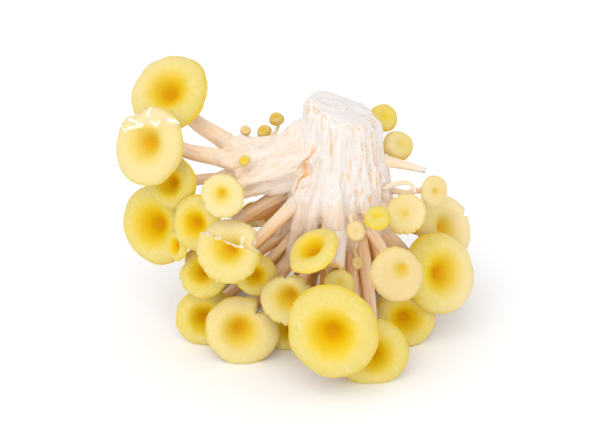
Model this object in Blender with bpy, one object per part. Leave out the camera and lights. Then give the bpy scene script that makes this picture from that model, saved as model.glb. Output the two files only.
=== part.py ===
"""A cluster of golden oyster mushrooms, cut from its growing block and set down on its caps.

The white butt points up. Stems run down and out from it to funnel caps, and the lowest caps
stand on their margins. Units are metres with +Z up. The origin is on the table under the
middle of the cluster, and -Y is the side that shows best.
"""

import math
import random
from collections import namedtuple

import bpy
import numpy as np

MM = 0.001
TABLE = 0.0
GAP = 0.3 * MM
# The spot under the middle of the cluster, where the places below have their x and y in mm.
# Each mesh is moved so that it becomes the origin.
MIDDLE_MM = (-3.4, 0.5, 0.0)

# The butt: the ends of its axis in mm, and its radius in mm at shares of its height. The cut
# at its top leans to the right, and its folds fade out towards the cut.
BUTT_ENDS_MM = ((14, 12, 52), (16.5, 17, 110))
BUTT_SHARES = (0.0, 0.1, 0.22, 0.4, 0.6, 0.8, 1.0)
BUTT_RADII_MM = (12, 20, 24.5, 21.5, 19, 18, 17)
BUTT_SIDES = 28
BUTT_FOLDS = 7
BUTT_FOLD_DEPTH = 0.09
CUT_LEAN = math.radians(11)

# The arm that carries the left-hand stems: points on its axis in mm, and its radii there.
ARM_POINTS_MM = ((12, 15, 97), (2, 14, 91), (-7, 13, 87), (-16, 12, 83), (-24, 12, 80), (-32, 12, 78))
ARM_RADII_MM = (12, 16, 15, 13, 10, 7)
ARM_SIDES = 20
ARM_FOLDS = 5
ARM_FOLD_DEPTH = 0.1
ARM_ROOTS_AT = 0.75

# A cap's section, as shares of its radius: pit and pit_width are the throat, bowl the hollow
# round it, droop the fall of the margin, fall the gills' run from margin to stem, and ridge
# the height of a gill. top_rings is where the upper side has its rings of points.
Form = namedtuple("Form", "pit pit_width bowl droop fall ridge top_rings")
FUNNEL = Form(0.26, 0.20, 0.13, 0.24, 0.34, 0.035, (0.12, 0.28, 0.56, 0.85))
SAUCER = Form(0.14, 0.13, 0.05, 0.18, 0.34, 0.035, (0.12, 0.45, 0.82))
BUTTON = Form(0.10, 0.22, 0.02, 0.42, 0.26, 0.030, (0.18, 0.7))
PIN = Form(0.04, 0.30, 0.00, 0.75, 0.30, 0.0, (0.6,))
# A cap has this many gills, and two more for each step of its width.
GILLS_AT_LEAST = 8
GILLS_STEP_MM = 7
BOWL_REACH = 0.6
LIP = 0.06
UNDER_EDGE = 0.93
UNDER_MIDDLE = 0.5
OVAL = 0.035
WAVE = 0.03

# A stem's radius is this share of its cap's width, within these limits in mm, and it flares
# to its root and to the collar under the cap.
STEM_SHARE = 0.088
STEM_RADIUS_MM = (0.8, 3.4)
COLLAR_FLARE = 1.35
ROOT_FLARE = 1.6
STEM_SIDES = 7
STEM_STEPS = 5
STEM_HANDLE = 0.35
STEM_SAG = 0.45
# A root is sunk to this share of the radius of the butt or arm. On the butt it is the higher
# the higher its cap is, from a base and with a rise, within limits.
ROOT_DEPTH = 0.6
ROOT_BASE_MM = 50
ROOT_RISE = 1 / 3
ROOT_HEIGHTS_MM = (57, 90)

# Each mushroom: its cap's name, the middle of the cap's rim in mm, how far it is turned from
# the front towards the right and tilted up from level in degrees, its width in mm and its
# form. root is where its stem starts, if the rule doesn't say: the height in mm on the butt,
# or ARM, or a point on another stem. off is how far the throat lies off the middle, right and
# up, as shares of the radius. notch is a tear in the margin: its place and half width in
# degrees, and its depth as a share of the radius.
ARM = "arm"
Mushroom = namedtuple(
    "Mushroom",
    "name middle turn tilt width form root off notch",
    defaults=(None, (0, 0), None),
)
MUSHROOMS = (
    # The left-hand side, held high by the arm
    Mushroom("top_left", (-63, 24, 114), -18, 46, 37, FUNNEL, ARM),
    Mushroom("torn_left", (-71.5, 0, 97.5), -25, 28, 35, FUNNEL, ARM, (0, 0.1), (120, 25, 0.14)),
    Mushroom("behind_torn", (-62, 4, 77), -30, 20, 25, FUNNEL, ARM),
    Mushroom("pale_left", (-37, -20, 82.5), -12, 30, 20, SAUCER, ARM, (0, 0.15), (205, 20, 0.2)),
    Mushroom("left_large", (-71, 10, 52.2), -30, 22, 38, FUNNEL, ARM),
    Mushroom("left_middle", (-50, -11, 64), -25, 20, 25, FUNNEL, ARM),
    Mushroom("left_lobe", (-60, -5, 49.3), -55, 15, 15, FUNNEL, (-45, 1, 63)),
    Mushroom("split_fan", (-35, -28, 60.5), -15, 38, 30, FUNNEL, 80, (0.1, 0.1), (20, 22, 0.25)),
    Mushroom("lower_left_torn", (-47, -9, 39), -15, 38, 25, FUNNEL, 60, (0, 0), (170, 20, 0.15)),
    # The front, standing on the table or leaning just clear of it
    Mushroom("front_left_outer", (-47, -10, 13.5), -5, 18, 28, FUNNEL),
    Mushroom("front_left", (-29, -25, 15.4), 2, 20, 33, FUNNEL, None, (-0.1, 0.1), (50, 14, 0.35)),
    Mushroom("front_low", (-8, -14, 11), -5, 20, 23, FUNNEL),
    Mushroom("ragged", (-9, -28, 34), -15, 22, 25, FUNNEL, None, (0.15, 0.2), (100, 14, 0.15)),
    Mushroom("front_largest", (11, -53, 32), -8, 17, 41, FUNNEL, 62),
    Mushroom("front_right", (30, -41, 14), 5, 20, 32, FUNNEL),
    Mushroom("right_low", (46, -11, 13.8), 12, 20, 30, FUNNEL),
    Mushroom("pale_right", (40, -36, 52), 8, 24, 24, SAUCER, None, (0.2, 0.25)),
    Mushroom("behind_fan", (-23, -14, 39), -5, 22, 20, FUNNEL),
    Mushroom("behind_largest", (15, -30, 44), 5, 35, 14, BUTTON),
    # The upper front
    Mushroom("bright_oval", (2, -27, 61), -60, 60, 25, FUNNEL),
    Mushroom("bud_front", (22, -24, 67), 0, 25, 9, BUTTON),
    Mushroom("bud_deep", (23, -19, 48), 0, 25, 6, PIN),
    Mushroom("small_oval", (31, -24, 75), -10, 60, 12, BUTTON),
    # The right-hand side
    Mushroom("shell_right", (44, -10, 69), -20, 48, 20, SAUCER),
    Mushroom("right_large", (64, -4, 34), 30, 24, 38, FUNNEL),
    Mushroom("right_split", (67, 20, 46), 38, 32, 32, FUNNEL, None, (0, 0), (10, 8, 0.3)),
    Mushroom("small_right", (59, 8, 70.5), 25, 25, 14, SAUCER),
    Mushroom("bud_right_high", (37, 33, 97), 30, 45, 14, BUTTON, 88),
    Mushroom("bud_right", (44, 26, 86), 35, 40, 15, BUTTON, 80),
    # Buds on the arm
    Mushroom("pin_back_high", (-14, 32, 97), -20, 60, 7, PIN, ARM),
    Mushroom("pin_back_low", (-20, 28, 92), -30, 50, 7, PIN, ARM),
    Mushroom("pin_shoulder", (-28, 24, 94), -10, 40, 5, PIN, ARM),
    Mushroom("pin_bright", (-28, 2, 89), -20, 30, 5, PIN, ARM),
    # The back
    Mushroom("back_left_low", (-38, 36, 15.4), -130, 15, 33, FUNNEL),
    Mushroom("back_centre", (2, 56, 27), 180, 15, 36, FUNNEL),
    Mushroom("back_right_low", (42, 38, 16), 135, 15, 33, FUNNEL),
    Mushroom("back_left", (-44, 42, 50), -135, 20, 28, FUNNEL, 68),
    Mushroom("back_high", (-14, 48, 60), -165, 22, 24, FUNNEL),
    Mushroom("back_right", (30, 48, 50), 155, 22, 24, SAUCER),
    Mushroom("back_top", (12, 44, 76), 175, 25, 20, SAUCER, 80),
    Mushroom("back_middle", (8, 56, 57), 178, 15, 17, FUNNEL, 70),
    Mushroom("back_small", (-25, 52, 37), -160, 15, 18, FUNNEL),
    Mushroom("back_bud", (30, 39, 74), 140, 35, 13, BUTTON, 78),
    Mushroom("back_far_right", (57, 42, 42), 125, 20, 20, FUNNEL),
)

# Stems with no cap left on them: three points on each in mm, and its radii at both ends.
# The third spreads like a trumpet, because its gills are still there.
BARE_STEMS = (
    (((26, 14, 85), (42, 15, 81), (53, 15, 78)), (3.2, 1.4)),
    (((34, 6, 72), (45, 4, 77), (49, 2, 73)), (1.2, 0.8)),
    (((18, 2, 64), (14, -12, 57), (12, -18, 50)), (3.5, 5.5)),
)
BARE_STEPS = 4

COLOURS = {
    "flesh": (0.93, 0.86, 0.78, 1.0),
    "yellow": (0.92, 0.74, 0.13, 1.0),
    "pale": (0.95, 0.85, 0.45, 1.0),
}
ROUGHNESS = 0.5
SHARP_ANGLE = math.radians(40)


def material(name):
    """The shared material of that colour name."""
    found = bpy.data.materials.get(name)
    if found is None:
        found = bpy.data.materials.new(name)
        found.use_nodes = True
        shader = found.node_tree.nodes["Principled BSDF"]
        shader.inputs["Base Color"].default_value = COLOURS[name]
        shader.inputs["Roughness"].default_value = ROUGHNESS
        shader.inputs["Metallic"].default_value = 0.0
        found.diffuse_color = COLOURS[name]
    return found


def solid(name, rings, colour):
    """A closed mesh object through rings of points, with a face on the last, and on the first
    unless it is one point.

    Neighbouring rings have equal numbers of points, or one has twice the other's. The rings
    turn clockwise to someone whom they come towards.
    """
    starts = np.cumsum([0] + [len(ring) for ring in rings]).tolist()
    faces = [tuple(range(len(rings[0])))] if len(rings[0]) > 1 else []
    for near, far, first, second in zip(starts, starts[1:], rings, rings[1:]):
        faces += strip(near, len(first), far, len(second))
    faces.append(tuple(range(starts[-2], starts[-1]))[::-1])
    points = np.concatenate(rings) - np.array(MIDDLE_MM) * MM
    mesh = bpy.data.meshes.new(name)
    mesh.from_pydata(points.tolist(), [], faces)
    mesh.shade_smooth()
    mesh.set_sharp_from_angle(angle=SHARP_ANGLE)
    mesh.materials.append(material(colour))
    made = bpy.data.objects.new(name, mesh)
    bpy.context.scene.collection.objects.link(made)
    return made


def strip(near, near_count, far, far_count):
    """The faces between two rings that start at the indices near and far."""
    if near_count == 1:
        return [(near, far + i, far + (i + 1) % far_count) for i in range(far_count)]
    faces = []
    if near_count == far_count:
        for i in range(near_count):
            j = (i + 1) % near_count
            faces.append((near + i, far + i, far + j, near + j))
    elif near_count < far_count:
        for i in range(near_count):
            j = (i + 1) % near_count
            left, middle, right = (far + (2 * i + k) % far_count for k in range(3))
            faces.append((near + i, left, middle))
            faces.append((near + i, middle, near + j))
            faces.append((near + j, middle, right))
    else:
        for i in range(far_count):
            j = (i + 1) % far_count
            left, middle, right = (near + (2 * i + k) % near_count for k in range(3))
            faces.append((left, far + i, middle))
            faces.append((middle, far + i, far + j))
            faces.append((middle, far + j, right))
    return faces


def unit(vector):
    return vector / np.linalg.norm(vector)


def turns(count):
    """Angles of that many points round a ring."""
    return np.arange(count) * math.tau / count


def cap_frame(mushroom):
    """The middle of the cap's rim, and the cap's own right, up and outward directions."""
    turn, tilt = math.radians(mushroom.turn), math.radians(mushroom.tilt)
    level = np.array((math.sin(turn), -math.cos(turn), 0.0))
    out = math.cos(tilt) * level + math.sin(tilt) * np.array((0.0, 0.0, 1.0))
    right = np.array((math.cos(turn), math.sin(turn), 0.0))
    return np.array(mushroom.middle) * MM, right, np.cross(out, right), out


def stem_radius(mushroom):
    low, high = STEM_RADIUS_MM
    return min(max(STEM_SHARE * mushroom.width, low), high) * MM


def collar_share(mushroom):
    """The radius of the collar, where the gills meet the stem, as a share of the cap's."""
    return COLLAR_FLARE * stem_radius(mushroom) / (mushroom.width * MM / 2)


def top_height(form, share):
    """Height of the upper side at a share of the radius: throat, bowl and drooping margin."""
    throat = form.pit * math.exp(-((share / form.pit_width) ** 2))
    bowl = form.bowl * max(0.0, 1 - share / BOWL_REACH) ** 2
    droop = form.droop * max(0.0, (share - BOWL_REACH) / (1 - BOWL_REACH)) ** 2.2
    return -throat - bowl - droop


def under_height(form, share, collar):
    """Height of the gilled side at a share of the radius, lowest at the collar."""
    inward = max(0.0, (UNDER_EDGE - share) / (UNDER_EDGE - collar))
    return -form.droop - LIP - form.fall * inward**1.5


def ring_of(mushroom, share, height, count, ridge=0.0):
    """Points round the cap at one share of its radius, every second one raised by the ridge."""
    middle, right, up, out = cap_frame(mushroom)
    radius = mushroom.width * MM / 2
    draw = random.Random(mushroom.name)
    oval_at, wave_at = draw.uniform(0, math.pi), draw.uniform(0, math.tau)
    angle = turns(count)
    reach = share * (1 + OVAL * share * np.cos(2 * (angle - oval_at)))
    if mushroom.notch:
        place, half_width, depth = mushroom.notch
        away = (angle - math.radians(place) + math.pi) % math.tau - math.pi
        bite = np.clip(1 - np.abs(away) / math.radians(half_width), 0, 1)
        reach *= 1 - depth * bite * max(0.0, 2 * share - 1)
    side = reach * np.cos(angle) + mushroom.off[0] * (1 - share)
    rise = reach * np.sin(angle) + mushroom.off[1] * (1 - share)
    lift = height + WAVE * share**2 * np.sin(3 * angle + wave_at)
    lift += ridge * np.where(np.arange(count) % 2, 1, -1)
    points = middle + radius * (
        side[:, None] * right + rise[:, None] * up + lift[:, None] * out
    )
    points[:, 2] = np.maximum(points[:, 2], TABLE)
    return points


def cap(mushroom):
    """A cap: its upper side from the throat to the margin, then its gills in to the collar."""
    form = mushroom.form
    count = GILLS_AT_LEAST + 2 * round(mushroom.width / GILLS_STEP_MM)
    collar = collar_share(mushroom)
    rings = [ring_of(mushroom, 0.0, top_height(form, 0.0), 1)]
    for share in form.top_rings + (1.0,):
        rings.append(ring_of(mushroom, share, top_height(form, share), count))
    edge = under_height(form, UNDER_EDGE, collar)
    if form.ridge:
        inner = under_height(form, UNDER_MIDDLE, collar)
        rings.append(ring_of(mushroom, UNDER_EDGE, edge, 2 * count, form.ridge / 2))
        rings.append(ring_of(mushroom, UNDER_MIDDLE, inner, 2 * count, form.ridge))
    else:
        rings.append(ring_of(mushroom, UNDER_EDGE, edge, count))
    rings.append(ring_of(mushroom, collar, under_height(form, collar, collar), count))
    colour = "pale" if form is SAUCER else "yellow"
    return solid(f"cap_{mushroom.name}", rings, colour)


def tube(name, points, radii, sides, arrive=None, fold=0.0):
    """A round solid through the points, with a radius at each of them.

    arrive is its direction at the last point, where the points alone don't give it, and fold
    the depth of the folds along it, as a share of its radius.
    """
    ahead = np.gradient(points, axis=0)
    if arrive is not None:
        ahead[-1] = arrive
    ahead /= np.linalg.norm(ahead, axis=1)[:, None]
    side = np.cross(ahead[0], (0.31, 0.52, 0.79))
    angle = turns(sides)
    reach = (1 + fold * np.cos(ARM_FOLDS * angle))[:, None]
    rings = []
    for point, forward, radius in zip(points, ahead, radii):
        side = unit(side - forward * (side @ forward))
        over = np.cross(side, forward)
        turned = np.cos(angle)[:, None] * side + np.sin(angle)[:, None] * over
        rings.append(point + radius * reach * turned)
    return solid(name, rings, "flesh")


def butt_axis(share):
    low, top = np.array(BUTT_ENDS_MM) * MM
    return low + share * (top - low)


def butt_radius(share):
    return np.interp(share, BUTT_SHARES, BUTT_RADII_MM) * MM


def arm_at(share):
    """The point and the radius at a share of the arm's length."""
    places = np.linspace(0, 1, len(ARM_POINTS_MM))
    point = [np.interp(share, places, column) for column in np.transpose(ARM_POINTS_MM)]
    return np.array(point) * MM, np.interp(share, places, ARM_RADII_MM) * MM


def butt():
    """The butt: a folded cone that widens downwards, closed below and cut off at the top."""
    angle = turns(BUTT_SIDES)
    rings = []
    for share in reversed(BUTT_SHARES):
        fold = 1 + BUTT_FOLD_DEPTH * (1 - share) * np.cos(BUTT_FOLDS * angle)
        across = butt_radius(share) * fold * np.cos(angle)
        deep = butt_radius(share) * fold * np.sin(angle)
        rise = -math.tan(CUT_LEAN) * across * share**3
        rings.append(butt_axis(share) + np.stack([across, deep, rise], axis=1))
    return solid("butt_and_stems", rings, "flesh")


def arm():
    points = np.array(ARM_POINTS_MM) * MM
    return tube("arm", points, np.array(ARM_RADII_MM) * MM, ARM_SIDES, fold=ARM_FOLD_DEPTH)


def root_of(mushroom, end):
    """Where a stem starts, sunk into the arm or into the butt on the side of its cap."""
    if isinstance(mushroom.root, tuple):
        return np.array(mushroom.root) * MM
    if mushroom.root == ARM:
        axis, radius = arm_at(ARM_ROOTS_AT)
        return axis + ROOT_DEPTH * radius * unit(end - axis)
    low, top = np.array(BUTT_ENDS_MM) * MM
    height = mushroom.root
    if height is None:
        height = ROOT_BASE_MM + ROOT_RISE * end[2] / MM
    share = (np.clip(height, *ROOT_HEIGHTS_MM) * MM - low[2]) / (top[2] - low[2])
    axis = butt_axis(share)
    level = unit((end - axis) * (1, 1, 0))
    return axis + ROOT_DEPTH * butt_radius(share) * level


def stem(mushroom):
    """A stem: a cubic curve from its root to just under its cap, where it follows the cap's axis."""
    middle, right, up, out = cap_frame(mushroom)
    radius = mushroom.width * MM / 2
    collar = collar_share(mushroom)
    depth = under_height(mushroom.form, collar, collar) * radius - GAP
    aside = (1 - collar) * radius * (mushroom.off[0] * right + mushroom.off[1] * up)
    end = middle + aside + depth * out
    start = root_of(mushroom, end)
    reach = np.linalg.norm(end - start)
    sag = np.array((0, 0, STEM_SAG if end[2] < start[2] else 0))
    leave = start + STEM_HANDLE * reach * unit(unit(end - start) - sag)
    before = end - STEM_HANDLE * reach * out
    t = np.linspace(0, 1, STEM_STEPS + 1)
    a, b, c, d = ((1 - t) ** 3, 3 * (1 - t) ** 2 * t, 3 * (1 - t) * t**2, t**3)
    points = a[:, None] * start + b[:, None] * leave + c[:, None] * before + d[:, None] * end
    flare = 1 + (ROOT_FLARE - 1) * (1 - t) ** 2 + (COLLAR_FLARE - 1) * t**6
    return tube(f"stem_{mushroom.name}", points, stem_radius(mushroom) * flare, STEM_SIDES, out)


def bare_stem(number, points_mm, radii_mm):
    """A stem without a cap: one arch through its three points."""
    first, middle, last = np.array(points_mm) * MM
    handle = 2 * middle - (first + last) / 2
    t = np.linspace(0, 1, BARE_STEPS + 1)[:, None]
    points = (1 - t) ** 2 * first + 2 * (1 - t) * t * handle + t**2 * last
    radii = np.linspace(*radii_mm, BARE_STEPS + 1) * MM
    return tube(f"bare_stem_{number}", points, radii, STEM_SIDES)


def fuse(body, others):
    """Joins the others into the body by one Boolean union, applies it and removes them."""
    group = bpy.data.collections.new("to_fuse")
    for other in others:
        group.objects.link(other)
    union = body.modifiers.new("Fuse", "BOOLEAN")
    union.operation = "UNION"
    union.operand_type = "COLLECTION"
    union.collection = group
    union.solver = "MANIFOLD"
    graph = bpy.context.evaluated_depsgraph_get()
    joined = bpy.data.meshes.new_from_object(body.evaluated_get(graph))
    body.modifiers.remove(union)
    body.data = joined
    for other in others:
        bpy.data.objects.remove(other)
    bpy.data.collections.remove(group)


def main():
    for old in list(bpy.data.objects):
        bpy.data.objects.remove(old)
    for mushroom in MUSHROOMS:
        cap(mushroom)
    stems = [stem(mushroom) for mushroom in MUSHROOMS]
    stems += [bare_stem(i, *bare) for i, bare in enumerate(BARE_STEMS)]
    fuse(butt(), [arm(), *stems])


main()
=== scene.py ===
"""The finish of a cluster of golden oyster mushrooms that lies on its caps with its butt up.

Every cap becomes a fine surface with a throat, a rolled margin and thin gills. The butt, its
arm and the stems become fibrous flesh with orange-brown stains. Sizes are in metres unless
a name ends in _MM, and +Z is up. Colours are linear.
"""

import math
import random
from collections import namedtuple

import bpy
import numpy as np
from bpy.props import FloatProperty, FloatVectorProperty, IntProperty, PointerProperty
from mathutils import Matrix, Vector


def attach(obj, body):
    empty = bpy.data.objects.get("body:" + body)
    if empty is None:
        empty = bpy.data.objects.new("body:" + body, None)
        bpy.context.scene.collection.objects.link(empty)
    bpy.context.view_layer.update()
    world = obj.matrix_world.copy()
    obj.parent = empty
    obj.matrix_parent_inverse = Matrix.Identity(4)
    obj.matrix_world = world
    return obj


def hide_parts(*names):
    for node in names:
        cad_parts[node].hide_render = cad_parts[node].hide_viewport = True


bl_info = {
    "name": "Golden Oyster Mushroom Cluster",
    "version": (1, 0, 0),
    "blender": (4, 5, 0),
    "location": "View3D > Sidebar > Mushrooms",
    "description": "Grows the caps, stems and butt of a cut cluster over its packed solids",
    "category": "Add Mesh",
}

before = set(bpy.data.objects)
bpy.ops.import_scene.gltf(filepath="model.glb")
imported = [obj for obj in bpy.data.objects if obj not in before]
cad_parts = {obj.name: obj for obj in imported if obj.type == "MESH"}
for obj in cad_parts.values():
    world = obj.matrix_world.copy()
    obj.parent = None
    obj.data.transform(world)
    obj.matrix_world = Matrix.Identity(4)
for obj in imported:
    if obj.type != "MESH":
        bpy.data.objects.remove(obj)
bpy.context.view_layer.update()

MM = 0.001
TABLE = 0.0
BODY = "root"
BUTT_NODE = "butt_and_stems"

# The spot under the middle of the cluster, where the places below have their x and y.
MIDDLE = np.array((-3.4, 0.5, 0.0)) * MM

# The butt, whose cut leans about a line to the left of its axis, and the core under it.
BUTT_LOW, BUTT_TOP = np.array(((14, 12, 52), (16.5, 17, 110))) * MM
BUTT_SHARES = (0.0, 0.1, 0.22, 0.4, 0.6, 0.8, 1.0)
BUTT_RADII_MM = (12, 20, 24.5, 21.5, 19, 18, 17)
BUTT_FOLDS = 7
BUTT_FOLD_DEPTH = 0.09
CUT_LEAN = math.radians(20)
CUT_PIVOT = 5 * MM
CUT_DOME = 0.8 * MM
CORE_MM = (14, 12, 40)
STUNTED = 20
GOLDEN_ANGLE = math.pi * (3 - math.sqrt(5))

# The arm, which sinks and thins between its ends.
ARM_POINTS_MM = ((12, 15, 97), (2, 14, 91), (-7, 13, 87), (-16, 12, 83), (-24, 12, 80), (-32, 12, 78))
ARM_RADII_MM = (12, 16, 15, 13, 10, 7)
ARM_FOLDS = 5
ARM_FOLD_DEPTH = 0.1
ARM_ROOTS_AT = 0.75
ARM_SINK_MM = 3.5
ARM_WAIST = 0.16

# The groove where the arm leaves the butt: heights above the butt's foot, and its angles there.
GROOVE_HEIGHTS_MM = (20, 30, 44)
GROOVE_ANGLES = (-58, -48, -38)
GROOVE_WIDTH = 2.8
GROOVE_DEPTH = 1.9 * MM

# Stained places on the butt: degrees to the right of its front, height in mm above its foot,
# their half width and half height, and how strong they are.
STAINS = (
    (50, 32, 34, 24, 0.9),
    (-22, 40, 9, 5, 1.0),
    (-18, 48, 7, 4, 1.0),
    (62, 52, 12, 5, 1.0),
    (-48, 26, 8, 16, 0.8),
    (15, 30, 16, 20, 0.35),
    (-55, 57, 28, 5, 1.0),
    (75, 50, 12, 8, 0.9),
)

# A cap's section, as shares of its radius: pit and pit_width are the throat, bowl the hollow
# round it, droop the fall of the margin, fall the gills' run from margin to stem, and gills
# the depth of a gill.
Form = namedtuple("Form", "pit pit_width bowl droop fall gills")
FUNNEL = Form(0.12, 0.18, 0.29, 0.24, 0.34, 0.10)
SAUCER = Form(0.10, 0.11, 0.06, 0.18, 0.34, 0.09)
BUTTON = Form(0.08, 0.20, 0.03, 0.42, 0.26, 0.05)
PIN = Form(0.04, 0.30, 0.00, 0.75, 0.30, 0.0)
BOWL = (0.08, 0.62)
ROLL_FROM = 0.62
ROLL_FULLNESS = 0.95
LIP = 0.06
UNDER_EDGE = 0.93
OVAL = 0.035
WAVE = 0.03
# Run goes from 0 in the throat to 1 at the margin, then round the lip, and down the gills to 2.
LIP_RUN = 0.08
GILLS_FROM = 1 + LIP_RUN
GILLS_RUN = 0.92
# How far along run the colours of a bud start, because its throat is closed.
BUD_TINTS = {BUTTON: 0.42, PIN: 0.25}

# Stems: their radius as a share of the cap's width, within limits, and how they flare, leave
# and sag. A root is sunk into the butt at a height that rises with its cap's.
STEM_SHARE = 0.088
STEM_RADIUS_MM = (0.8, 3.4)
COLLAR_FLARE = 1.35
ROOT_FLARE = 1.6
STEM_HANDLE = 0.35
STEM_SAG = 0.45
ROOT_DEPTH = 0.6
ROOT_BASE_MM = 50
ROOT_RISE = 1 / 3
ROOT_HEIGHTS_MM = (57, 90)
ROOT_LENGTH = 0.42
ROUND_SIDES = 20
BARE_FLUTES = 0.05

# Each mushroom: its cap's name, the middle of the cap's rim in mm, how far it is turned from
# the front towards the right and tilted up from level in degrees, its width in mm and its
# form. root is the height of its stem's root in mm on the butt, or ARM, or a point on another
# stem. off is how far the throat lies off the middle, right and up, as shares of the radius.
# notch is a tear in the margin: its place and half width in degrees, and its depth as a share.
# tone runs from a deep yellow cap at 0 to a straw one at 1, fray is how ragged the margin is,
# and cracks are torn lines across the skin, right and up from the middle as shares of the
# radius. A flap is the part above a slanting line: the line's height, its slope, and how far
# the flap sags. fade is how much the tone rises to the right and upwards, tan is how tan the
# skin is, and clear is how much of the throat's colour it lacks.
ARM = "arm"
Mushroom = namedtuple(
    "Mushroom",
    "name middle turn tilt width form root off notch tone fray cracks flap fade tan clear",
    defaults=(None, (0, 0), None, 0.2, 0.006, (), None, (0, 0), 0, 0),
)
TORN_LEFT_CRACKS = (
    ((-0.95, 0.36), (-0.65, 0.30), (-0.43, 0.38), (-0.2, 0.5)),
    ((-0.80, 0.62), (-0.50, 0.52), (-0.24, 0.5), (0.0, 0.62)),
    ((-0.16, 0.95), (-0.14, 0.8), (0.0, 0.65), (0.2, 0.54), (0.22, 0.64), (0.44, 0.76), (0.78, 0.72)),
)
SPLIT_FAN_CRACKS = (
    ((-0.9, 0.42), (-0.5, 0.33), (0.0, 0.22), (0.45, 0.12)),
    ((0.3, 0.2), (0.36, 0.42)),
)
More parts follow.
